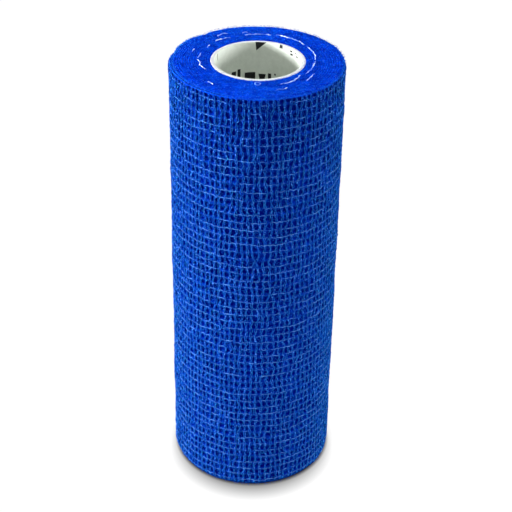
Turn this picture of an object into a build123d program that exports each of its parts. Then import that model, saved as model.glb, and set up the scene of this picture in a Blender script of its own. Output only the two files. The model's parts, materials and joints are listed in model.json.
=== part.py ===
# Roll of self-adherent elastic bandage wound on a paper core, standing on end.
# Millimetres. Z runs along the roll's axis, from the end it stands on at z = 0.
import os
from math import cos, sin, pi, radians, degrees

from build123d import *

os.makedirs("parts", exist_ok=True)

# sizes that drive the roll
web_width = 150.0          # width of the bandage, which is the roll's height
core_bore_radius = 13.6    # hole through the paper core
liner_thickness = 0.2      # printed paper glued inside the core
ply_thickness = 0.5        # each of the core's two board plies
core_slack = 0.05          # between the core and the first turn

fleece_thickness = 0.36    # the soft backing web
yarn_thickness = 0.14      # elastic yarns lying lengthwise on the fleece
rib_thickness = 0.16       # cross yarns lying over the elastic ones
turn_gap = 0.08            # air between one turn and the next
half_turns = 33            # sixteen and a half turns on the core

tip_angle = 132.0          # where the free end lies, turning left from +X
tail_count = 8             # rigid lengths that stand for the peeling end
tail_step = 15.0           # degrees of the roll that each one covers
tail_neck = 1.0            # how much the free end narrows at each edge, by its tip
end_gap = 0.1              # between one length and the next

selvage = 1.9              # smooth edge of the web, outside the last yarn
yarn_spacing = 2.7         # wanted distance between elastic yarns
yarn_width = 0.4
ribs_per_step = 4          # cross yarns in each step of the tail
rib_width = 0.8
rib_inset = 0.2            # the cross yarns stop this short of the web's edges

loose_yarn_width = 0.3
loose_yarn_height = 0.25

# sizes that follow
web_thickness = fleece_thickness + yarn_thickness + rib_thickness
turn_pitch = web_thickness + turn_gap
centre_offset = turn_pitch / 4
core_radius = core_bore_radius + liner_thickness + 2 * ply_thickness
first_inner_radius = core_radius + core_slack + centre_offset
outer_radius = first_inner_radius + web_thickness + (half_turns - 1) * turn_pitch / 2
yarn_count = round((web_width - 2 * selvage) / yarn_spacing) + 1
yarn_step = (web_width - 2 * selvage) / (yarn_count - 1)
rib_step = tail_step / ribs_per_step
tail_arc = tail_count * tail_step

# depths measured inwards from the strip's outer face
rib_bottom = rib_thickness
yarn_bottom = rib_thickness + yarn_thickness


def arc_centre(half_turn):
    # the strip's half turns swing alternately about two centres
    side = 1 if half_turn % 2 == 0 else -1
    reach = side * centre_offset
    return reach * cos(radians(tip_angle)), reach * sin(radians(tip_angle))


def strip_point(along, depth):
    # along is in degrees from the free end towards the core
    half_turn = min(int(along // 180), half_turns - 1)
    radius = outer_radius - half_turn * turn_pitch / 2 - depth
    centre_x, centre_y = arc_centre(half_turn)
    angle = radians(tip_angle + along)
    return centre_x + radius * cos(angle), centre_y + radius * sin(angle)


def strip_arcs(start, end, depth):
    # the arcs from start to end, split where the centre changes
    pieces = []
    while start < end - 1e-6:
        half_turn = int((start + 1e-6) // 180)
        stop = min(end, (half_turn + 1) * 180)
        radius = outer_radius - half_turn * turn_pitch / 2 - depth
        pieces.append((arc_centre(half_turn), radius, tip_angle + start, stop - start))
        start = stop
    return pieces


def strip_outline(start, end, top_depth, bottom_depth):
    # closed outline of a length of the strip between two depths
    for depth in (top_depth, bottom_depth):
        for centre, radius, angle, sweep in strip_arcs(start, end, depth):
            CenterArc(centre, radius, angle, sweep)
    for along in (start, end):
        here = along if along == start else along - 1e-9
        Line(strip_point(here, top_depth), strip_point(here, bottom_depth))


def keep(part, label):
    part.label = label
    export_step(part, "parts/" + label + ".step")
    print(label, round(part.volume, 2), len(part.solids()))


def make_tube(label, inner, outer):
    with BuildPart() as tube:
        with BuildSketch():
            Circle(outer)
            Circle(inner, mode=Mode.SUBTRACT)
        extrude(amount=web_width)
    keep(tube.part, label)


def make_fleece(label, start, end, low, high, top_depth=yarn_bottom):
    with BuildPart() as fleece:
        with BuildSketch(Plane.XY.offset(low)):
            with BuildLine():
                strip_outline(start, end, top_depth, web_thickness)
            make_face()
        extrude(amount=high - low)
    keep(fleece.part, label)


def make_elastic_yarns(label, start, end):
    bottoms = [selvage + row * yarn_step - yarn_width / 2 for row in range(yarn_count)]
    with BuildPart() as yarns:
        with BuildSketch(*[Plane.XY.offset(bottom) for bottom in bottoms]):
            with BuildLine():
                strip_outline(start, end, rib_bottom, yarn_bottom)
            make_face()
        extrude(amount=yarn_width)
    keep(yarns.part, label)


def make_cross_yarns(label, start, end, low, high):
    half_width = degrees(rib_width / 2 / outer_radius)
    count = round((end - start) / rib_step)
    with BuildPart() as ribs:
        with BuildSketch(Plane.XY.offset(low)):
            for rib in range(count):
                middle = start + (rib + 0.5) * rib_step
                with BuildLine():
                    strip_outline(middle - half_width, middle + half_width, 0, rib_bottom)
                make_face()
        extrude(amount=high - low)
    keep(ribs.part, label)


# the paper core: a printed liner inside two plies of board
ply_start = core_bore_radius + liner_thickness
make_tube("core_liner", core_bore_radius, ply_start)
make_tube("core_inner_ply", ply_start, ply_start + ply_thickness)
make_tube("core_outer_ply", ply_start + ply_thickness, core_radius)

# the wound strip, from under the last turn down to the core
turn_start = tail_arc
turn_end = tail_arc + 360
make_fleece("wound_strip", turn_end, half_turns * 180, 0, web_width, top_depth=0)

# the last full turn, built in its layers because it can be seen
make_fleece("last_turn_fleece", turn_start, turn_end, 0, web_width)
make_elastic_yarns("last_turn_elastic_yarns", turn_start, turn_end)
make_cross_yarns("last_turn_cross_yarns", turn_start, turn_end, rib_inset, web_width - rib_inset)

# the free end in short lengths, numbered from the peel line to the tip
for number in range(1, tail_count + 1):
    start = tail_arc - number * tail_step
    end = start + tail_step
    name = "tail_" + str(number)
    near = end - degrees(end_gap / 2 / outer_radius)
    far = start + degrees(end_gap / 2 / outer_radius)
    if number == tail_count:
        far = start
    low = tail_neck * number / tail_count
    high = web_width - low
    make_fleece(name + "_fleece", far, near, low, high)
    make_elastic_yarns(name + "_elastic_yarns", far, near)
    make_cross_yarns(name + "_cross_yarns", start, end, low + rib_inset, high - rib_inset)

# broken ends of elastic yarn lying on the upper end of the roll:
# turns counted out from the core, the middle angle and the degrees covered
loose_yarns = [
    (3.1, -90, 6), (4.3, -53, 30), (7.0, -36, 16), (3.7, -16, 32), (4.9, 19, 32), (6.6, 57, 34),
    (6.5, 90, 24), (10.4, 121, 10), (6.3, 126, 16), (9.0, 162, 5), (5.0, 171, 10), (4.4, 192, 24),
    (9.7, 230, 6),
]
with BuildPart() as edge_yarn:
    for turn, angle, sweep in loose_yarns:
        middle = core_radius + turn * turn_pitch
        with BuildSketch(Plane.XY.offset(web_width)):
            with BuildLine():
                for radius in (middle - loose_yarn_width / 2, middle + loose_yarn_width / 2):
                    CenterArc((0, 0), radius, angle - sweep / 2, sweep)
                for side in (-0.5, 0.5):
                    turned = radians(angle + side * sweep)
                    ends = [middle - loose_yarn_width / 2, middle + loose_yarn_width / 2]
                    Line(*[(radius * cos(turned), radius * sin(turned)) for radius in ends])
            make_face()
        extrude(amount=loose_yarn_height)
keep(edge_yarn.part, "edge_yarn")

wound_degrees = half_turns * 180
mean_radius = (outer_radius - web_thickness / 2 + first_inner_radius + web_thickness / 2) / 2
print("outer radius", round(outer_radius + centre_offset, 3))
print("strip length", round(radians(wound_degrees) * mean_radius, 1))
print("yarn rows", yarn_count, "spacing", round(yarn_step, 3))
print("rib spacing", round(radians(rib_step) * outer_radius, 3), "per turn", round(360 / rib_step))
for number in range(1, tail_count + 1):
    x, y = strip_point(tail_arc - (number - 1) * tail_step, 0)
    print("hinge", number, round(x, 4), round(y, 4))
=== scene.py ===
# A roll of self-adherent elastic bandage on a paper core, standing on end.
import json, math
import bpy
import numpy as np
from mathutils import Matrix, Vector


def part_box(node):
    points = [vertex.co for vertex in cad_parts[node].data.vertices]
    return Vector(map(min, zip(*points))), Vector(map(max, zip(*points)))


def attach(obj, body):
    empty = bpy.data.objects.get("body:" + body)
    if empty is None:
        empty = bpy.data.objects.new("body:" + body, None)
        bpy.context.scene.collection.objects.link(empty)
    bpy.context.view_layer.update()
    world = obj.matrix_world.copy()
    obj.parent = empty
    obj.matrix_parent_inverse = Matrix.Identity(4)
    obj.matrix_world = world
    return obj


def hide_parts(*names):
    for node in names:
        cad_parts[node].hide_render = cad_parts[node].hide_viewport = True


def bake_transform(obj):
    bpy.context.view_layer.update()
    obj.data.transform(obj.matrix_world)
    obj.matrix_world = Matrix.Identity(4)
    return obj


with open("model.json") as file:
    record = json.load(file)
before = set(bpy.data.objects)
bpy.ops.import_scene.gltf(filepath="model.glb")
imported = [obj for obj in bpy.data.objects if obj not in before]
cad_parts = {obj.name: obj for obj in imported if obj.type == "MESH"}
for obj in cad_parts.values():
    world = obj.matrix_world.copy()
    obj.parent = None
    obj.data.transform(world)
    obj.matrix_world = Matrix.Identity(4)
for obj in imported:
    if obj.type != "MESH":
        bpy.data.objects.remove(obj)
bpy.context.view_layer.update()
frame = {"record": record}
bpy.ops.object.select_all(action="DESELECT")

mm = 0.001
rollBottom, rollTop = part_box("wound_strip")
webWidth = rollTop.z - rollBottom.z
boreRadius = frame["record"]["mounts"][0]["dims"]["r_mm"] * mm
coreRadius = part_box("core_outer_ply")[1].x

# the strip winds on half turns about two centres, as the CAD strip does;
# its degrees run from the free end's tip, and depths run in from its outer face
web = {"thickness": 0.66 * mm, "pitch": 0.74 * mm, "slack": 0.05 * mm, "halfTurns": 33, "tipAngle": 132.0,
       "tailDegrees": 120.0, "stepDegrees": 15.0, "selvage": 2.2 * mm, "tailNarrow": 0.12 * mm,
       "shoulder": 0.5 * mm, "shoulderReach": 0.9 * mm, "footRound": 0.6 * mm, "footHigh": 1.3 * mm}
webEnd = web["halfTurns"] * 180.0
firstOuter = coreRadius + web["slack"] + web["pitch"] / 4 + web["thickness"]
webOuter = firstOuter + (web["halfTurns"] - 1) * web["pitch"] / 2


def softNoise(x, y, seed):
    # smooth blotches between -1 and 1, one per unit
    table = np.random.default_rng(seed).uniform(-1, 1, (256, 256))
    x, y = np.broadcast_arrays(np.asarray(x, float), np.asarray(y, float))
    left, low = np.floor(x).astype(int), np.floor(y).astype(int)
    fx, fy = x - left, y - low
    fx, fy = fx * fx * (3 - 2 * fx), fy * fy * (3 - 2 * fy)
    pick = lambda a, b: table[a % 256, b % 256]
    bottom = pick(left, low) * (1 - fx) + pick(left + 1, low) * fx
    top = pick(left, low + 1) * (1 - fx) + pick(left + 1, low + 1) * fx
    return bottom * (1 - fy) + top * fy


def soft(noise, x, y, shift=0):
    # one noise from a dictionary of settings: its size, how long a blotch is in x and in y, and its seed
    size, longX, longY, seed = noise
    return size * softNoise(x / longX + shift, y / longY, seed)


def softStep(value, low, high):
    t = np.clip((value - low) / (high - low), 0, 1)
    return t * t * (3 - 2 * t)


# lobes round the roll: how many, size in mm, phase, lean in radians over a height of 1 / leanRate;
# dents near the top: angle, half width in degrees, size in mm
lumps = {"lobes": [(3, 0.05, 0.4, 18), (5, 0.05, 2.1, -26), (8, 0.05, 4.0, 41), (13, 0.04, 0.9, -63),
                   (21, 0.04, 5.2, 88), (34, 0.035, 3.3, -120), (55, 0.03, 1.3, 150)],
         "dents": [(131.5, 3.2, -0.75), (145, 7.0, 0.30), (166, 4.5, -0.65), (181, 8.0, 0.15)],
         "leanRate": 6, "dentReach": 12 * mm}


def swell(angle, z):
    # how far the wound cloth swells or sinks at an angle in degrees, in metres
    turned = np.radians(angle)
    size = sum(height * np.cos(count * turned + phase + lean * lumps["leanRate"] * z)
               for count, height, phase, lean in lumps["lobes"])
    nearTop = softStep(z, webWidth - lumps["dentReach"], webWidth)
    for middle, wide, height in lumps["dents"]:
        away = (angle - middle + 180) % 360 - 180
        size = size + height * nearTop * np.exp(-(away / wide) ** 2)
    return size * mm


def stripPlace(along, depth, z):
    # where a point of the strip lies: degrees from the tip, depth under its outer face, height
    along, depth, z = np.broadcast_arrays(*(np.asarray(value, float) for value in (along, depth, z)))
    half = np.clip(np.floor(along / 180), 0, web["halfTurns"] - 1)
    reach = np.where(half % 2 == 0, 1, -1) * web["pitch"] / 4
    radius = webOuter - half * web["pitch"] / 2 - depth
    outward = np.clip((radius - coreRadius) / (webOuter - coreRadius), 0, 1)
    radius = radius + swell(web["tipAngle"] + along, z) * outward ** 2
    tip, angle = math.radians(web["tipAngle"]), np.radians(web["tipAngle"] + along)
    return np.stack([reach * math.cos(tip) + radius * np.cos(angle),
                     reach * math.sin(tip) + radius * np.sin(angle), z], -1)


def edgeDrop(along):
    # the edges of the outermost turns sit lower, which rounds the shoulder,
    # and the free end narrows a little more
    depthIn = np.asarray(along) / 360 * web["pitch"]
    narrow = web["tailNarrow"] * (1 - softStep(along, 0, web["tailDegrees"]))
    return web["shoulder"] * np.exp(-depthIn / web["shoulderReach"]) + narrow


def loftMesh(name, batches, material, marks=None):
    # each batch is many shells of rings of points, closed round each ring and capped at both ends
    points, faces, start = [], [], 0
    for rings in batches:
        many, count, sides = rings.shape[:3]
        spots = rings.reshape(-1, 3)
        index = np.arange(many * count * sides).reshape(many, count, sides)
        here, ahead = index[:, :-1], index[:, 1:]
        quads = np.stack([here, np.roll(here, -1, 2), np.roll(ahead, -1, 2), ahead], -1)
        quads = quads.reshape(many, -1, 4)
        middle = rings.mean((1, 2))[:, None]
        a, b, c = (spots[quads[..., corner]] - middle for corner in (0, 1, 2))
        inward = np.einsum("nij,nij->n", a, np.cross(b, c)) < 0
        caps = np.stack([index[:, 0, ::-1], index[:, -1]], 1)
        quads[inward] = quads[inward][:, :, ::-1]
        caps[inward] = caps[inward][:, :, ::-1]
        faces += (quads.reshape(-1, 4) + start).tolist() + (caps.reshape(-1, sides) + start).tolist()
        points.append(spots)
        start += len(spots)
    mesh = bpy.data.meshes.new(name)
    mesh.from_pydata(np.concatenate(points).tolist(), [], faces)
    mesh.shade_smooth()
    if marks is not None:
        values = np.concatenate([np.ravel(mark) for mark in marks]).astype(np.float32)
        mesh.attributes.new("weave", "FLOAT", "POINT").data.foreach_set("value", values)
    piece = bpy.data.objects.new(name, mesh)
    bpy.context.scene.collection.objects.link(piece)
    mesh.materials.append(material)
    return piece


# a thread's section is set level with the floor, or across the thread where it runs too steeply for that
threadShape = {"upward": [0.0123, 0.0071, 1.0], "sideways": [1.0, 0.3, 0.0], "steepest": 0.05, "tip": 0.4}


def threadRings(lines, radius, sides=4):
    # round threads along lines of points, thinned to a tip at both ends
    ahead = np.gradient(lines, axis=1)
    ahead /= np.linalg.norm(ahead, axis=2, keepdims=True) + 1e-12
    level = np.cross(ahead, threadShape["upward"])
    tooSteep = np.linalg.norm(level, axis=2, keepdims=True) < threadShape["steepest"]
    level = np.where(tooSteep, np.cross(ahead, threadShape["sideways"]), level)
    level /= np.linalg.norm(level, axis=2, keepdims=True) + 1e-12
    upward = np.cross(level, ahead)
    turned = np.linspace(0, math.tau, sides, endpoint=False)
    thick = np.broadcast_to(radius, lines.shape[:2]).copy()
    thick[:, (0, -1)] *= threadShape["tip"]
    ring = np.cos(turned)[:, None] * level[:, :, None] + np.sin(turned)[:, None] * upward[:, :, None]
    return lines[:, :, None] + thick[:, :, None, None] * ring


class Shade:
    # one socket, so that shader maths reads as an expression
    def __init__(self, tree, socket):
        self.tree, self.socket = tree, socket

    def node(self, kind, settings=None, inputs=None, output=0):
        made = self.tree.nodes.new(kind)
        for key, value in (settings or {}).items():
            setattr(made, key, value)
        for key, value in (inputs or {}).items():
            if isinstance(value, Shade):
                self.tree.links.new(value.socket, made.inputs[key])
            else:
                made.inputs[key].default_value = value
        return Shade(self.tree, made.outputs[output])

    def maths(self, operation, *values):
        return self.node("ShaderNodeMath", {"operation": operation}, dict(enumerate(values)))

    def __add__(self, other):
        return self.maths("ADD", self, other)

    def __radd__(self, other):
        return self.maths("ADD", other, self)

    def __sub__(self, other):
        return self.maths("SUBTRACT", self, other)

    def __rsub__(self, other):
        return self.maths("SUBTRACT", other, self)

    def __mul__(self, other):
        return self.maths("MULTIPLY", self, other)

    def __rmul__(self, other):
        return self.maths("MULTIPLY", other, self)

    def above(self, other):
        return self.maths("GREATER_THAN", self, other)

    def below(self, other):
        return self.maths("LESS_THAN", self, other)

    def ramp(self, low, high):
        return self.node("ShaderNodeMapRange", {"clamp": True},
                         {"Value": self, "From Min": low, "From Max": high})

    def mix(self, first, second):
        # self is the factor
        return self.node("ShaderNodeMix", {"data_type": "RGBA", "clamp_factor": True},
                         {0: self, 6: first, 7: second}, 2)

    def noise(self, scale, detail=2.0, rough=0.5, stretch=(1, 1, 1)):
        place = self.node("ShaderNodeMapping", {}, {"Vector": self, "Scale": stretch})
        return self.node("ShaderNodeTexNoise", {},
                         {"Vector": place, "Scale": scale, "Detail": detail, "Roughness": rough}, "Fac")


def newMaterial(name, constants):
    material = bpy.data.materials.new(name)
    material.use_nodes = True
    shader = material.node_tree.nodes["Principled BSDF"]
    for key, value in constants.items():
        shader.inputs[key].default_value = value
    start = Shade(material.node_tree, shader.outputs[0])
    place = start.node("ShaderNodeTexCoord", output="Object")
    return material, shader, place


def feed(shader, **links):
    names = {"color": "Base Color", "rough": "Roughness", "normal": "Normal",
             "glow": "Emission Color"}
    for key, value in links.items():
        value.tree.links.new(value.socket, shader.inputs[names[key]])


def bumped(height, strength, distance):
    return height.node("ShaderNodeBump", {},
                       {"Strength": strength, "Distance": distance, "Height": height}, "Normal")


# the point attribute "weave" says what a point of the cloth is: 0 rib, 1 bottom of a cell, or one of these;
# the foot mark darkens the cloth towards the cell colour, as painted shade along the bottom edge
marks = {"felt": -0.5, "fibre": -0.25, "foot": 0.8}
clothShine = {"Roughness": 1.0, "Specular IOR Level": 0.0, "Sheen Weight": 0.92, "Sheen Roughness": 0.38,
              "Sheen Tint": (0.03, 0.40, 0.86, 1)}
clothColors = {"feltDark": (0.0, 0.0145, 0.45, 1), "feltLight": (0.0005, 0.046, 0.73, 1),
               "speck": (0.06, 0.20, 0.95, 1), "cell": (0.0, 0.0022, 0.125, 1),
               "ribDark": (0.0001, 0.0038, 0.135, 1), "ribLight": (0.0010, 0.021, 0.27, 1),
               "fibre": (0.006, 0.085, 0.58, 1)}
# scale, detail and roughness of each grain
clothGrain = {"blotch": (420, 2.0, 0.6), "fibre": (1500, 3.0, 0.75), "speck": (2900, 1.0, 0.5)}


def clothMaterial(name, constants):
    material, shader, place = newMaterial(name, constants)
    cellMark = place.node("ShaderNodeAttribute", {"attribute_name": "weave"}, {}, "Fac")
    blotch = place.noise(*clothGrain["blotch"])
    fibre = place.noise(*clothGrain["fibre"])
    speck = place.noise(*clothGrain["speck"])
    mottle = (fibre * 0.5 + blotch * 0.5).ramp(0.42, 0.58)
    felt = mottle.mix(clothColors["feltDark"], clothColors["feltLight"])
    # the lighter specks in the felt are painted highlights, glints off single fibres
    felt = speck.ramp(0.64, 0.74).mix(felt, clothColors["speck"])
    streak = (fibre * 0.7 + speck * 0.3).ramp(0.40, 0.62)
    rib = streak.mix(clothColors["ribDark"], clothColors["ribLight"])
    surface = cellMark.ramp(-0.35, -0.45).mix(rib, felt)
    isFibre = cellMark.above(-0.35) * cellMark.below(-0.15)
    surface = (isFibre * 0.8).mix(surface, clothColors["fibre"])
    # the cell colour is darker than the ribs: painted shade down in each cell of the weave
    cell = (cellMark + (fibre - 0.5) * 0.5).ramp(0.22, 0.62)
    feed(shader, color=cell.mix(surface, clothColors["cell"]),
         normal=bumped(fibre * 0.6 + speck * 0.4, 0.9, 0.3 * mm))
    return material


fleece = clothMaterial("fleeceWeb", clothShine)
edgeFelt = clothMaterial("fleeceEdge", {**clothShine, "Sheen Weight": 0.5, "Sheen Roughness": 0.3,
                                        "Sheen Tint": (0.01, 0.30, 1.0, 1)})

# the other finishes, most with a darker and a lighter tone; the foot's two tones are painted shade for the
# roll's bottom edge
colors = {"foot": ((0.0, 0.010, 0.085, 1), (0.004, 0.030, 0.17, 1)),
          "elastic": ((0.0015, 0.032, 0.26, 1), (0.085, 0.235, 0.62, 1)),
          "cross": ((0.0002, 0.008, 0.17, 1), (0.005, 0.056, 0.39, 1)), "crossGlint": (0.07, 0.25, 0.85, 1),
          "loose": ((0.03, 0.17, 0.85, 1), (0.60, 0.76, 1.0, 1)),
          "board": ((0.66, 0.70, 0.76, 1), (0.80, 0.83, 0.87, 1)),
          "paper": ((0.65, 0.70, 0.63, 1), (0.73, 0.78, 0.71, 1)), "ink": (0.004, 0.004, 0.006, 1)}

# the bottom edge of the roll gets a darker cloth with no sheen: painted shade where the roll meets the floor
footShadeCloth, shader, place = newMaterial("fleeceFootShade", {"Roughness": 1.0, "Specular IOR Level": 0.0})
tone = place.noise(*clothGrain["fibre"])
feed(shader, color=tone.ramp(0.40, 0.62).mix(*colors["foot"]))

elastic, shader, place = newMaterial("elasticYarn", {**clothShine, "Roughness": 0.7,
                                                     "Specular IOR Level": 0.05})
tone = place.noise(700, 3.0, 0.7)
feed(shader, color=tone.ramp(0.38, 0.66).mix(*colors["elastic"]),
     normal=bumped(place.noise(3000, 2.0), 0.4, 0.08 * mm))

cross, shader, place = newMaterial("crossYarn", clothShine)
tone = place.noise(520, 3.0, 0.6) * 0.5 + place.noise(2100, 2.0, 0.6) * 0.5
glint = place.noise(2500, 1.0, 0.5).ramp(0.60, 0.70)
strand = tone.ramp(0.38, 0.62).mix(*colors["cross"])
feed(shader, color=glint.mix(strand, colors["crossGlint"]),
     normal=bumped(place.noise(2600, 2.0), 0.6, 0.1 * mm))

loose, shader, place = newMaterial("looseYarn", {"Roughness": 0.4, "Specular IOR Level": 0.5})
tone = place.noise(650, 2.0, 0.6)
feed(shader, color=tone.ramp(0.42, 0.62).mix(*colors["loose"]),
     rough=tone * 0.3 + 0.3)

board, shader, place = newMaterial("coreBoard", {"Roughness": 0.85, "Specular IOR Level": 0.3})
pulp = place.noise(900, 3.0, 0.7)
feed(shader, color=pulp.ramp(0.3, 0.7).mix(*colors["board"]),
     normal=bumped(pulp, 0.5, 0.05 * mm))
print("cloth and board materials made")

# the liner's print is plain bars, blocks and triangles, on the liner's own map:
# across runs 0 to 85.45 mm round the bore, with the back at its middle, and height in mm from the top
liner, shader, place = newMaterial("corePrint", {"Roughness": 0.6, "Specular IOR Level": 0.35})
wrapMap = place.node("ShaderNodeUVMap", {"uv_map": "wrap"})
across = wrapMap.node("ShaderNodeSeparateXYZ", {}, {0: wrapMap}, "X")
height = wrapMap.node("ShaderNodeSeparateXYZ", {}, {0: wrapMap}, "Y")


def block(left, right, top, bottom, leanLeft=0.0, leanRight=0.0):
    # a printed block; the leans draw its sides in downwards, as far as a triangle
    down = height - top
    sides = (across - down * leanLeft).above(left) * (across + down * leanRight).below(right)
    return sides * height.above(top) * height.below(bottom)


blocks = [(41.8, 45.4, -0.1, 2.8, 0.1, 1.1), (49.8, 51.0, -0.1, 1.1), (54.0, 55.2, 0.5, 1.2),
          (54.2, 55.4, 1.5, 2.2), (56.6, 57.6, 0.4, 1.0), (57.4, 58.4, 1.2, 1.9), (26.1, 26.4, 0.2, 2.5),
          (33.8, 35.4, 9.4, 13.5, -0.3), (35.9, 37.0, 8.9, 13.5), (38.4, 41.9, 10.4, 14.5),
          (42.9, 45.3, 11.0, 14.5, 0.2, 0.2), (46.0, 47.1, 10.6, 14.5), (48.1, 48.7, 10.4, 11.0),
          (8.0, 11.6, 4.0, 6.8, 0.1, 1.1), (16.0, 17.2, 4.0, 6.8), (66.0, 69.6, 7.0, 10.0),
          (72.0, 75.0, 7.0, 10.0, 0.4, 0.4)]
ink = block(*blocks[0])
for mark in blocks[1:]:
    ink = ink.maths("MAXIMUM", ink, block(*mark))
pulp = place.noise(700, 3.0, 0.6)
paper = pulp.ramp(0.3, 0.7).mix(*colors["paper"])
feed(shader, color=ink.mix(paper, colors["ink"]), normal=bumped(pulp, 0.3, 0.04 * mm))

# the paper core, turned from a circle
core = {"segments": 160, "linerWall": 0.2 * mm, "edgeRound": 0.16 * mm}


def tubeByHand(name, inner, outer, material, rounding):
    bpy.ops.object.select_all(action="DESELECT")
    bpy.ops.mesh.primitive_cylinder_add(vertices=core["segments"], radius=outer, depth=webWidth,
                                        end_fill_type="NOTHING", location=(0, 0, webWidth / 2))
    piece = bpy.context.object
    piece.name = piece.data.name = name
    bpy.ops.object.transform_apply(location=True, rotation=True, scale=True)
    wall = piece.modifiers.new("wall", "SOLIDIFY")
    wall.thickness, wall.offset, wall.use_even_offset = outer - inner, -1, True
    bpy.ops.object.modifier_apply(modifier="wall")
    edge = piece.modifiers.new("edge", "BEVEL")
    edge.width, edge.segments = rounding, 3
    edge.limit_method, edge.angle_limit = "ANGLE", math.radians(50)
    bpy.ops.object.modifier_apply(modifier="edge")
    bpy.ops.object.mode_set(mode="EDIT")
    bpy.ops.mesh.select_all(action="SELECT")
    bpy.ops.mesh.normals_make_consistent(inside=False)
    bpy.ops.object.mode_set(mode="OBJECT")
    bpy.ops.object.shade_smooth_by_angle(angle=math.radians(40))
    piece.data.materials.clear()
    piece.data.materials.append(material)
    return piece


def unrollMap(piece):
    # the wrap map; a face that spans the seam at the front keeps all its corners on one side of it
    wrap = piece.data.uv_layers.new(name="wrap")
    for polygon in piece.data.polygons:
        spots = [piece.data.vertices[vertex].co for vertex in polygon.vertices]
        turns = [(math.atan2(spot.x, spot.y) / math.tau + 0.5) % 1.0 for spot in spots]
        if max(turns) - min(turns) > 0.5:
            turns = [turn + 1 if turn < 0.5 else turn for turn in turns]
        for loop, spot, turn in zip(polygon.loop_indices, spots, turns):
            wrap.data[loop].uv = (turn * math.tau * boreRadius / mm, (webWidth - spot.z) / mm)


linerOuter = boreRadius + core["linerWall"]
coreBoard = tubeByHand("core_board", linerOuter, coreRadius, board, core["edgeRound"])
coreLiner = tubeByHand("core_liner_print", boreRadius, linerOuter, liner, core["linerWall"] * 0.4)
unrollMap(coreLiner)
for piece, nodes in ((coreBoard, ("core_inner_ply", "core_outer_ply")), (coreLiner, ("core_liner",))):
    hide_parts(*nodes)
    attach(piece, "roll")
print("core made")

# short fibres that stand off the cloth
fuzz = {"perMm2": 1.0, "endPerMm2": 1.6, "lowEndShare": 0.5, "radius": 0.034 * mm, "shortest": 0.5 * mm,
        "longest": 1.9 * mm, "endLength": 0.7, "lift": 0.30 * mm, "curl": 1.3, "loopShare": 0.5,
        "rootDepth": 0.12 * mm, "sideMargin": 1.6 * mm, "lowest": 0.5 * mm, "lowestOnEnd": 0.08 * mm}
# where they lie on an end: a share of them along its rim, and a share along the core
ends = {"inset": 0.1 * mm, "offCore": 0.2 * mm, "rimShare": 0.25, "rimWide": 0.4 * mm,
        "coreShare": 0.06, "coreFrom": -0.05, "coreTo": 0.35, "nearestCore": 0.35 * mm,
        "pastRim": 0.15 * mm, "sunk": 0.03 * mm}


def fibreLines(random, start, heading, length, lift, place):
    # curved fibres from start points (u, v) on a surface; place turns u, v and the height off it, in metres,
    # into points
    steps = np.linspace(0, 1, 3)[None, :]
    curl = random.uniform(-fuzz["curl"], fuzz["curl"], len(length))[:, None]
    bearing = heading[:, None] + curl * steps
    u = start[:, :1] + length[:, None] * steps * np.cos(bearing)
    v = start[:, 1:] + length[:, None] * steps * np.sin(bearing)
    looped = (random.random(len(length)) < fuzz["loopShare"])[:, None]
    rise = lift[:, None] * np.where(looped, 4 * steps * (1 - steps), steps)
    return place(u, v, rise)


def fibreLengths(random, count):
    return random.uniform(fuzz["shortest"], fuzz["longest"], count) * random.uniform(0.5, 1, count)


def sideFibres(start, end, seed):
    random = np.random.default_rng(seed)
    perDegree = math.radians(1) * webOuter
    count = int((end - start) * perDegree * webWidth / mm ** 2 * fuzz["perMm2"])
    spots = np.stack([random.uniform(start, end, count) * perDegree,
                      random.uniform(fuzz["sideMargin"], webWidth - fuzz["sideMargin"], count)], 1)

    def place(u, v, rise):
        return stripPlace(u / perDegree, fuzz["rootDepth"] - rise, np.maximum(v, fuzz["lowest"]))

    lift = fuzz["lift"] * random.uniform(0.2, 1.0, count) ** 1.5
    heading = random.uniform(0, math.tau, count)
    lines = fibreLines(random, spots, heading, fibreLengths(random, count), lift, place)
    return threadRings(lines, fuzz["radius"] * random.uniform(0.7, 1.3, count)[:, None], 3)


def endFibres(top, density, seed):
    # fibres lying on an end of the roll, and more of them along its rim
    random = np.random.default_rng(seed)
    outer = webOuter - ends["inset"]
    count = int(math.pi * (outer ** 2 - coreRadius ** 2) / mm ** 2 * density)
    radius = np.sqrt(random.uniform((coreRadius + ends["offCore"]) ** 2, outer ** 2, count))
    share = random.random(count)
    byRim = outer - np.abs(random.normal(0, ends["rimWide"], count))
    byCore = coreRadius + random.uniform(ends["coreFrom"], ends["coreTo"], count) * mm
    radius = np.where(share < ends["rimShare"], byRim, radius)
    radius = np.where(share > 1 - ends["coreShare"], byCore, radius)
    turned = random.uniform(0, math.tau, count)
    spots = np.stack([radius * np.cos(turned), radius * np.sin(turned)], 1)

    def place(u, v, rise):
        r, angle = np.hypot(u, v), np.degrees(np.arctan2(v, u))
        pull = np.clip(r, coreRadius - ends["nearestCore"], outer + ends["pastRim"]) / r
        r, u, v = r * pull, u * pull, v * pull
        along = (angle - web["tipAngle"]) % 360 + (webOuter - r) / web["pitch"] * 360
        sink = edgeDrop(np.clip(along, 0, None)) - ends["sunk"]
        outward = np.clip((r - coreRadius) / (webOuter - coreRadius), 0, 1)
        out = 1 + swell(angle, webWidth) / webOuter * outward
        z = webWidth - sink + rise if top else np.maximum(sink - rise, fuzz["lowestOnEnd"])
        return np.stack([u * out, v * out, z], -1)

    lift = fuzz["lift"] * random.uniform(0.1, 0.5, count)
    length = fuzz["endLength"] * fibreLengths(random, count)
    lines = fibreLines(random, spots, random.uniform(0, math.tau, count), length, lift, place)
    return threadRings(lines, fuzz["radius"] * random.uniform(0.7, 1.4, count)[:, None], 3)


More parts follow.
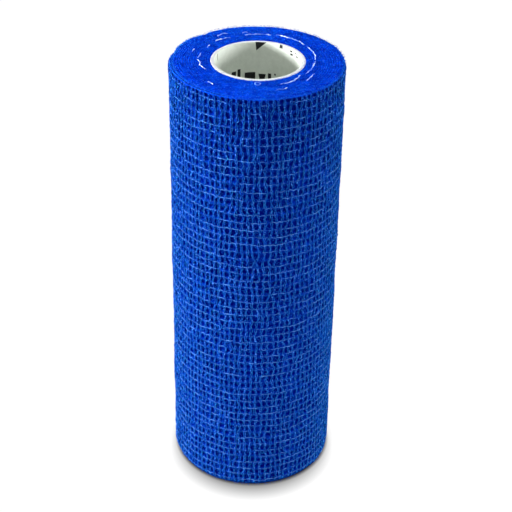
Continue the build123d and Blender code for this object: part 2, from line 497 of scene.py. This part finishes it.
# the wound web under the last turn: only its edges show, so the turns swell until they touch
wound = {"ringDegrees": 1.25, "edgeSteps": 5, "swell": 0.03 * mm, "edgeRound": 0.14 * mm,
         "wanderWide": (0.10 * mm, 7.0, 1 / 0.6), "wanderFine": (0.12 * mm, 1.7, 0.5),
         "highSeed": 11, "lowSeed": 13, "lowDrop": 0.6}


def turnProfile(along):
    # closed outline of the web's section: depth and height, with rounded edges that wander up and down
    steps = np.linspace(0, math.pi, wound["edgeSteps"])
    turns = along / 360.0
    high, low = (np.abs(soft((*wound["wanderWide"], seed), along, turns))
                 + np.abs(soft((*wound["wanderFine"], seed + 1), along, turns))
                 for seed in (wound["highSeed"], wound["lowSeed"]))
    drop = edgeDrop(along)[:, None]
    depthTop = web["pitch"] / 2 - np.cos(steps) * (web["pitch"] / 2 + wound["swell"])
    rise = np.sin(steps) * wound["edgeRound"] - wound["edgeRound"]
    depth = np.concatenate([depthTop, depthTop[::-1]])[None, :] * np.ones((len(along), 1))
    height = np.concatenate([webWidth - drop - high[:, None] + rise,
                             drop * wound["lowDrop"] + low[:, None] - rise[::-1]], 1)
    return depth, height


along = np.arange(web["tailDegrees"] + 360, webEnd + 0.01, wound["ringDegrees"])
depth, height = turnProfile(along)
rings = stripPlace(along[:, None], depth, height)
# the inner face of the first turn lies snug on the core
snug = (along[:, None] >= webEnd - 360) & (depth > web["pitch"] / 2)
reach = np.hypot(rings[..., 0], rings[..., 1])
scale = np.where(snug, coreRadius / reach, 1)
rings[..., 0] *= scale
rings[..., 1] *= scale
endTop = endFibres(True, fuzz["endPerMm2"], 61)
endLow = endFibres(False, fuzz["endPerMm2"] * fuzz["lowEndShare"], 62)
woundWeb = loftMesh("wound_web", [rings[None], endTop, endLow], edgeFelt,
                    [np.full(rings.shape[:2], marks["felt"]), np.full(endTop.shape[:3], marks["fibre"]),
                     np.full(endLow.shape[:3], marks["fibre"])])
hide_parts("wound_strip")
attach(woundWeb, "roll")
print("wound web made")

# the weave that shows on the last turn and on the free end:
# a row is one elastic thread, and a rib is one cross yarn
weave = {"rows": 55, "ribDegrees": 3.75, "alongSamples": 6, "rowSamples": 6, "cellDepth": 0.44 * mm,
         "ridgeDepth": 0.11 * mm, "cellWide": 0.80, "cellHigh": 0.78, "tallerAtTop": 0.16,
         "tallerFrom": 0.75, "squareness": 2.6, "cellFrom": 0.60, "cellTo": 1.08, "sizeMean": 0.96,
         "strengthMean": 0.86, "strengthLow": 0.15, "strengthHigh": 1.1}
# noises, each with its size, the length of a blotch round the roll and up it, and a seed
weaveNoise = {"swayWide": (0.24, 1 / 0.7, 4.2 * mm, 21), "swayFine": (0.20, 1 / 3.1, 1.7 * mm, 22),
              "driftWide": (0.24 * mm, 15.0, 1 / 0.8, 23), "driftFine": (0.19 * mm, 4.1, 1 / 3.3, 24),
              "sizeByCell": (0.32, 1 / 7.7, 1 / 5.3, 25), "sizeWide": (0.16, 9.0, 6.0 * mm, 26),
              "strengthWide": (0.34, 12.0, 8.0 * mm, 27), "strengthFine": (0.30, 2.9, 2.2 * mm, 28),
              "ruffle": (0.04 * mm, 0.8, 0.45 * mm, 29)}
rowStep = (webWidth - 2 * web["selvage"]) / (weave["rows"] - 1)


def ribSway(rib, z):
    # how far a rib wanders sideways, in ribs
    return soft(weaveNoise["swayWide"], rib, z, 5) + soft(weaveNoise["swayFine"], rib, z)


def rowDrift(along, row):
    # how far a row of elastic wanders up or down, in metres
    return soft(weaveNoise["driftWide"], along, row) + soft(weaveNoise["driftFine"], along, row)


def weaveDepth(along, z):
    # depth of the fleece under the outer face, and how deep in a cell of the weave a point is
    ribs = along / weave["ribDegrees"]
    offAlong = 1 - np.abs((ribs + ribSway(np.floor(ribs), z)) % 1.0 - 0.5) * 2
    rowHere = (z - web["selvage"]) / rowStep
    rows = rowHere - rowDrift(along, np.round(rowHere)) / rowStep
    offUp = 1 - np.abs((rows + 0.5) % 1.0 - 0.5) * 2
    size = (weave["sizeMean"] + soft(weaveNoise["sizeByCell"], np.floor(ribs + 0.5), np.floor(rowHere))
            + soft(weaveNoise["sizeWide"], along, z))
    nearTop = softStep(z, webWidth * weave["tallerFrom"], webWidth)
    cellHigh = weave["cellHigh"] + weave["tallerAtTop"] * nearTop
    power = weave["squareness"]
    shape = ((np.abs(offAlong) / (weave["cellWide"] * size)) ** power
             + (np.abs(offUp) / (cellHigh * size)) ** power) ** (1 / power)
    strength = (weave["strengthMean"] + soft(weaveNoise["strengthWide"], along, z)
                + soft(weaveNoise["strengthFine"], along, z))
    strength = np.clip(strength, weave["strengthLow"], weave["strengthHigh"])
    cell = (1 - softStep(shape, weave["cellFrom"], weave["cellTo"])) * strength
    return weave["ridgeDepth"] + weave["cellDepth"] * cell + soft(weaveNoise["ruffle"], along, z), cell


# the web's edges: how far the outer face draws in, over what height the weave fades and the felt shows, and
# how high the painted shade at the foot reaches
hem = {"inset": 0.1 * mm, "fadeTop": 0.7 * mm, "fadeFootFrom": 0.5 * mm, "fadeFootTo": 1.4 * mm,
       "shoulderIn": 0.14 * mm, "shoulderHigh": 0.6 * mm, "footHigh": 1.6 * mm, "feltFrom": 0.2 * mm,
       "feltTo": 1.3 * mm, "footShadeFrom": 0.3 * mm, "footShadeTo": 1.2 * mm, "cellMark": 0.3,
       "innerClear": 0.02 * mm, "innerCell": 0.1 * mm, "innerMark": 0.9, "innerCoarse": 10,
       "capDepth": [0.27, 0.42, 0.60, 0.75], "capRise": [-0.03, 0.0, 0.0, -0.05],
       "footDepth": [0.75, 0.72, 0.68, 0.64], "footRise": [0.05, 0.0, 0.0, 0.03]}


def fleeceLength(start, end, innerRows):
    # a length of the last layer, with the weave outside and, where innerRows allows, inside
    stepCount = round((end - start) / weave["ribDegrees"] * weave["alongSamples"])
    along = np.linspace(start, end, stepCount + 1)[:, None]
    drop = edgeDrop(along)
    rowCount = (weave["rows"] + 1) * weave["rowSamples"]
    high, low = webWidth - drop, drop * wound["lowDrop"]
    reach = high - low - 2 * hem["inset"]
    outerZ = low + hem["inset"] + reach * np.linspace(0, 1, rowCount)[None, :]
    innerZ = low + hem["inset"] + reach * np.linspace(1, 0, innerRows)[None, :]
    fromTop, fromFoot = high - outerZ, outerZ - low
    depth, cell = weaveDepth(along, outerZ)
    fade = softStep(fromTop, 0.0, hem["fadeTop"])
    fade = fade * softStep(fromFoot, hem["fadeFootFrom"], hem["fadeFootTo"])
    shoulderIn = hem["shoulderIn"] * np.clip(1 - fromTop / hem["shoulderHigh"], 0, 1) ** 2
    footIn = web["footRound"] * np.clip(1 - fromFoot / hem["footHigh"], 0, 1) ** 2
    outerDepth = weave["ridgeDepth"] + (depth - weave["ridgeDepth"]) * fade + shoulderIn + footIn
    nearTop = 1 - softStep(fromTop, hem["feltFrom"], hem["feltTo"])
    # nearFoot rises towards the bottom edge, where the foot mark paints shade
    nearFoot = 1 - softStep(fromFoot, hem["footShadeFrom"], hem["footShadeTo"])
    cell = cell * fade
    outerMark = np.where(cell > hem["cellMark"], cell, cell * (1 - nearTop) + marks["felt"] * nearTop)
    outerMark = outerMark + marks["foot"] * nearFoot
    innerCell = weaveDepth(along, innerZ)[1]
    innerDepth = web["thickness"] - hem["innerClear"] - np.zeros(innerZ.shape)
    if innerRows > hem["innerCoarse"]:
        innerDepth = innerDepth - hem["innerCell"] * innerCell
    column = np.ones_like(along)
    capDepth, capRise, footDepth, footRise = (np.array(hem[key])[None, :] * mm
                                              for key in ("capDepth", "capRise", "footDepth", "footRise"))
    depths = np.concatenate([outerDepth, capDepth * column, innerDepth, footDepth * column], 1)
    heights = np.concatenate([outerZ, high + capRise, innerZ, low + footRise], 1)
    edge = column.repeat(len(hem["capDepth"]), 1)
    mark = np.concatenate([outerMark, marks["felt"] * edge, hem["innerMark"] * innerCell,
                           marks["foot"] * edge], 1)
    return stripPlace(along, depths, heights)[None], mark


threads = {"elasticRadius": 0.115 * mm, "elasticSink": 0.09 * mm, "elasticSinkTop": 0.13 * mm,
           "sinkTopFrom": 0.78, "elasticPerRib": 4, "bob": 0.10 * mm, "bobSink": 0.04 * mm,
           "crossRadius": 0.135 * mm, "crossSink": 0.04 * mm, "crossPerRow": 3, "crossApart": 0.12,
           "crossOpens": 0.05, "crossBob": 0.05 * mm, "crossLow": 1.25 * mm, "crossHigh": 0.05 * mm,
           "insideSink": 0.06 * mm}
threadNoise = {"bobPhase": (2.0, 8.0, 1 / 1.9, 31), "shake": (0.10 * mm, 1.9, 1 / 7.3, 32),
               "sinkFine": (0.21 * mm, 4.3, 1 / 5.9, 33), "sinkWide": (0.14 * mm, 17.0, 1 / 2.3, 34),
               "elasticThick": (0.3, 2.3, 1 / 1.7, 35), "crossShake": (0.11, 1 / 1.9, 0.8 * mm, 36),
               "crossSink": (0.09 * mm, 1 / 2.7, 1.9 * mm, 37), "crossThick": (0.35, 1 / 4.1, 1.0 * mm, 38)}


def elasticLength(start, end, inside=False):
    # the elastic threads: they bob at every rib, drift, and here and there sink into the fleece;
    # inside puts them on the inner face
    count = round((end - start) / weave["ribDegrees"] * threads["elasticPerRib"]) + 1
    along = np.linspace(start, end, count)[None, :]
    row = np.arange(weave["rows"])[:, None]
    ribPhase = along / weave["ribDegrees"] * math.tau
    bob = np.cos(ribPhase + soft(threadNoise["bobPhase"], along, row))
    wave = rowDrift(along, row) + threads["bob"] * bob + soft(threadNoise["shake"], along, row)
    sink = threads["elasticSink"] + threads["bobSink"] * np.cos(ribPhase)
    nearTop = softStep(row, weave["rows"] * threads["sinkTopFrom"], weave["rows"])
    sink = sink + threads["elasticSinkTop"] * nearTop
    sink = sink + soft(threadNoise["sinkFine"], along, row) + soft(threadNoise["sinkWide"], along, row)
    thick = threads["elasticRadius"] * (1 + soft(threadNoise["elasticThick"], along, row))
    depth = web["thickness"] - np.maximum(sink, threads["insideSink"]) if inside else sink
    return threadRings(stripPlace(along, depth, web["selvage"] + row * rowStep + wave), thick)


def crossLength(start, end, inside=False):
    # two strands a rib, which spread at every row of elastic and close between, and so ring each cell
    first, last = (math.ceil(place / weave["ribDegrees"] - 0.5 - 1e-6) for place in (start, end))
    rib = np.arange(first, last)[:, None]
    middle = (rib + 0.5) * weave["ribDegrees"]
    drop = edgeDrop(middle)
    foot = drop * wound["lowDrop"]
    low, high = foot + threads["crossLow"], webWidth - drop - threads["crossHigh"]
    z = low + (high - low) * np.linspace(0, 1, (weave["rows"] + 1) * threads["crossPerRow"])[None, :]
    rowPhase = np.cos((z - web["selvage"]) / rowStep * math.tau)       # 1 at a row of elastic
    nearFoot = np.clip(1 - (z - foot) / hem["footHigh"], 0, 1)
    batches = []
    for side in (-1, 1):
        apart = side * (threads["crossApart"] + threads["crossOpens"] * rowPhase)
        shake = soft(threadNoise["crossShake"], rib, z, side * 17.3)
        along = middle + (apart + shake - ribSway(rib, z)) * weave["ribDegrees"]
        sink = (threads["crossSink"] + threads["crossBob"] * rowPhase
                + soft(threadNoise["crossSink"], rib, z, side * 9))
        thick = threads["crossRadius"] * (1 + soft(threadNoise["crossThick"], rib, z, side * 5))
        depth = sink + web["footRound"] * nearFoot ** 2
        if inside:
            depth = web["thickness"] - np.maximum(sink, threads["insideSink"])
        batches.append(threadRings(stripPlace(along, depth, z), thick))
    return batches


# rows of points on a hidden and on a shown inner face, and the first seeds of the fibres
layer = {"hiddenRows": 4, "shownRows": 113, "turnSeed": 70, "tailSeed": 80}


def layerSet(prefix, start, end, innerRows, seed):
    # a length of the last layer: its fleece, elastic threads, cross yarns and stray fibres
    rings, mark = fleeceLength(start, end, innerRows)
    fibres = sideFibres(start, end, seed)
    cloth = loftMesh(prefix + "_fleece", [rings], fleece, [mark])
    # the lowest band of the cloth takes the foot material, which paints shade along the bottom edge
    cloth.data.materials.append(footShadeCloth)
    isFootShade = [polygon.center.z < web["footHigh"] for polygon in cloth.data.polygons]
    cloth.data.polygons.foreach_set("material_index", isFootShade)
    faces = (False, True) if innerRows > hem["innerCoarse"] else (False,)
    elastics = [elasticLength(start, end, inside) for inside in faces]
    crosses = sum((crossLength(start, end, inside) for inside in faces), [])
    yarns = loftMesh(prefix + "_elastic", elastics, elastic)
    ribs = loftMesh(prefix + "_cross", crosses, cross)
    nap = loftMesh(prefix + "_nap", [fibres], fleece, [np.full(fibres.shape[:3], marks["fibre"])])
    return cloth, yarns, ribs, nap


layers = ("fleece", "elastic_yarns", "cross_yarns")
halfStep = web["stepDegrees"] / 2
quarters = np.linspace(web["tailDegrees"] + halfStep, web["tailDegrees"] + 360, 5)
lastTurn = [layerSet("last_turn_" + "abcd"[number], quarters[number], quarters[number + 1],
                     layer["hiddenRows"], layer["turnSeed"] + number) for number in range(4)]
for piece, node in zip(lastTurn[0], layers):
    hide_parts("last_turn_" + node)
for piece in sum(lastTurn, ()):
    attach(piece, "roll")
print("last turn made")

# each length of the free end spans one crease
tailCount = round(web["tailDegrees"] / web["stepDegrees"])
for number in range(1, tailCount + 1):
    crease = web["tailDegrees"] - (number - 1) * web["stepDegrees"]
    start, end = crease - halfStep if number < tailCount else 0.0, crease + halfStep
    pieces = layerSet("free_end_" + str(number), start, end, layer["shownRows"], layer["tailSeed"] + number)
    near, far = (stripPlace(place, web["thickness"] / 2, webWidth / 2) for place in (end, crease - halfStep))
    for piece, node in zip(pieces, layers):
        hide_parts("tail_%d_%s" % (number, node))
    for piece in pieces:
        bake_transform(piece)
print("free end made")

# loose ends of elastic lying on the roll's end: each is a list of (angle in degrees, radius in mm)
looseEnds = {"lines": [[(-68, 18.0), (-60, 18.5), (-52, 17.9), (-45, 17.25), (-38, 16.5)],
                       [(-32, 17.2), (-22, 17.5), (-10, 17.4), (0, 17.7)],
                       [(3, 17.8), (14, 18.3), (25, 18.4), (35, 18.9)],
                       [(40, 19.1), (50, 19.6), (62, 19.9), (74, 20.3)],
                       [(78, 19.7), (91, 19.5), (103, 19.7)],
                       [(118, 19.2), (126, 19.3), (134, 19.7)],
                       [(116, 22.3), (121, 22.6), (126, 22.4)],
                       [(99, 21.4), (104, 21.6)],
                       [(145, 18.7), (151, 18.4)],
                       [(159, 21.5), (165, 21.3)],
                       [(166, 18.6), (171, 18.3), (177, 18.6)],
                       [(180, 18.9), (187, 18.0), (195, 18.3), (204, 17.5)],
                       [(227, 22.0), (233, 22.2)],
                       [(-76, 21.6), (-70, 21.8), (-65, 21.4)],
                       [(-44, 20.5), (-36, 19.8), (-28, 19.6)]],
             "double": (0, 3, 5, 10), "radius": 0.14 * mm, "uneven": 0.45, "pointsPerDegree": 2.2,
             "wave": 0.16 * mm, "waveFine": (1, 2.1, 1, 41), "waveWide": (0.8, 6.0, 1, 42),
             "height": 0.05 * mm, "bob": (0.10 * mm, 2.6, 1, 43), "tipDrop": 0.25 * mm,
             "loopAngle": -90, "loopRadius": 0.85 * mm, "loopAt": 17.1 * mm, "loopHeight": 0.12 * mm}


def looseLine(corners, seed, strands):
    # a wavering line through listed points, in one or more strands
    corners = np.array(corners, float)
    count = max(10, int((corners[-1, 0] - corners[0, 0]) * looseEnds["pointsPerDegree"]))
    angle = np.linspace(corners[0, 0], corners[-1, 0], count)
    away = np.linspace(0, 1, count)
    lines = []
    for strand in range(strands):
        shift = seed * 3.3 + strand * 7.1
        radius = np.interp(angle, corners[:, 0], corners[:, 1]) * mm
        wave = soft(looseEnds["waveFine"], angle, shift) + soft(looseEnds["waveWide"], angle, shift)
        radius = radius + looseEnds["wave"] * wave
        z = webWidth + looseEnds["height"] + soft(looseEnds["bob"], angle, shift)
        z = z - looseEnds["tipDrop"] * np.abs(2 * away - 1) ** 8
        turned = np.radians(angle)
        lines.append(np.stack([radius * np.cos(turned), radius * np.sin(turned), z], -1))
    return np.array(lines)


batches = []
for number, corners in enumerate(looseEnds["lines"]):
    lines = looseLine(corners, number, 2 if number in looseEnds["double"] else 1)
    uneven = looseEnds["uneven"] * softNoise(np.arange(lines.shape[1]) / 2.5, number * 2.7, 44)
    thick = looseEnds["radius"] * (1 + uneven)
    batches.append(threadRings(lines, thick[None, :], 5))
# one end curls into a small ring at the front
turned = np.linspace(0.6, math.tau + 0.2, 26)
facing = math.radians(looseEnds["loopAngle"])
middle = Vector((math.cos(facing), math.sin(facing))) * looseEnds["loopAt"]
loop = np.stack([middle.x + looseEnds["loopRadius"] * np.cos(turned),
                 middle.y + looseEnds["loopRadius"] * np.sin(turned),
                 webWidth + looseEnds["loopHeight"] * (1 + np.cos(turned * 2))], -1)
batches.append(threadRings(loop[None], looseEnds["radius"], 5))
looseYarn = loftMesh("loose_yarn", batches, loose)
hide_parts("edge_yarn")
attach(looseYarn, "roll")
print("loose yarn made")

# floor, light and camera;
# the floor's glow carries a painted shadow, which lies a little in front of the roll and is darkest in a
# thin ring round its foot
stage = {"size": 8.0, "shadowBack": 5.9 * mm, "shadowFrom": 21.8 * mm, "shadowTo": 29.4 * mm,
         "ringFrom": 26.0 * mm, "ringTo": 29.8 * mm, "contactFrom": 26.6 * mm, "contactTo": 28.1 * mm,
         "ringPower": 0.35, "shadowFloor": 0.33, "contactFloor": 0.05, "pale": 0.99, "paleTo": 0.9,
         "greyFrom": 3.0, "world": 0.24}
bpy.ops.object.select_all(action="DESELECT")
bpy.ops.mesh.primitive_plane_add(size=stage["size"], location=(0, 0, 0))
floor = bpy.context.object
floor.name = "floor"
floorPaint, shader, place = newMaterial("floorPaint", {"Roughness": 1.0, "Specular IOR Level": 0.0,
                                                       "Emission Strength": 1.0})
# painted shadow: the floor's glow dims by distance from the roll's foot, shifted a little to the front
moved = place.node("ShaderNodeVectorMath", {"operation": "ADD"}, {0: place, 1: (0, stage["shadowBack"], 0)})
cast = moved.node("ShaderNodeVectorMath", {"operation": "LENGTH"}, {0: moved}, "Value")
away = place.node("ShaderNodeVectorMath", {"operation": "LENGTH"}, {0: place}, "Value")
ring = away.ramp(stage["ringFrom"], stage["ringTo"])
shadow = cast.ramp(stage["shadowFrom"], stage["shadowTo"]) * ring.maths("POWER", ring, stage["ringPower"])
shadow = shadow * (1 - stage["shadowFloor"]) + stage["shadowFloor"]
contact = away.ramp(stage["contactFrom"], stage["contactTo"])
lit = shadow * (contact * (1 - stage["contactFloor"]) + stage["contactFloor"])
glow = lit.mix((0, 0, 0, 1), (stage["pale"],) * 3 + (1,))
glow = away.ramp(stage["paleTo"], stage["greyFrom"]).mix(glow, (stage["world"],) * 3 + (1,))
floorTone = place.noise(4.0, 2.0).mix((0.02, 0.02, 0.02, 1), (0.022, 0.022, 0.022, 1))
feed(shader, color=floorTone, glow=glow)
floor.data.materials.append(floorPaint)

# name, azimuth and elevation in degrees, strength, softness in degrees
lights = [("left", 186, 1, 18.0, 24), ("right", -5, 3, 5.1, 28), ("back", 95, 12, 1.8, 60),
          ("top", 255, 84, 1.08, 75)]
for name, azimuth, elevation, strength, softness in lights:
    bpy.ops.object.light_add(type="SUN", location=(0, 0, 1))
    lamp = bpy.context.object
    lamp.name = lamp.data.name = name
    lamp.data.energy, lamp.data.angle = strength, math.radians(softness)
    up, around = math.radians(elevation), math.radians(azimuth)
    toward = Vector((math.cos(up) * math.cos(around), math.cos(up) * math.sin(around), math.sin(up)))
    lamp.rotation_euler = toward.to_track_quat("Z", "Y").to_euler()
bounce = {"place": (0.02, -0.17, 0.01), "aim": (0, 0, 0.0), "size": 0.14, "power": 0.25}
bpy.ops.object.light_add(type="AREA", location=bounce["place"])
lamp = bpy.context.object
lamp.name = lamp.data.name = "bounce"
lamp.data.size, lamp.data.energy, lamp.visible_camera = bounce["size"], bounce["power"], False
lamp.rotation_euler = (Vector(bounce["place"]) - Vector(bounce["aim"])).to_track_quat("Z", "Y").to_euler()
world = bpy.data.worlds.new("studio")
bpy.context.scene.world = world
world.use_nodes = True
world.node_tree.nodes["Background"].inputs["Color"].default_value = (1, 1, 1, 1)
world.node_tree.nodes["Background"].inputs["Strength"].default_value = stage["world"]

view = {"distance": 0.47269, "elevation": 32.81, "lookAt": (0, 0, 0.075), "roll": 0.973, "focal": 98.07,
        "shiftX": 0.0027, "shiftY": 0.0146}
bpy.ops.object.camera_add(location=(0, 0, 0))
camera = bpy.context.object
camera.data.lens, camera.data.sensor_width = view["focal"], 36
camera.data.shift_x, camera.data.shift_y = view["shiftX"], view["shiftY"]
camera.data.clip_start, camera.data.clip_end = 0.01, 20
up = math.radians(view["elevation"])
offset = Vector((0, -math.cos(up), math.sin(up))) * view["distance"]
turned = offset.to_track_quat("Z", "Y").to_matrix().to_4x4()
turned = turned @ Matrix.Rotation(math.radians(view["roll"]), 4, "Z")
camera.matrix_world = Matrix.Translation(Vector(view["lookAt"]) + offset) @ turned
bpy.context.scene.camera = camera
bpy.context.scene.view_settings.view_transform = "Standard"
print("floor, lights and camera made")
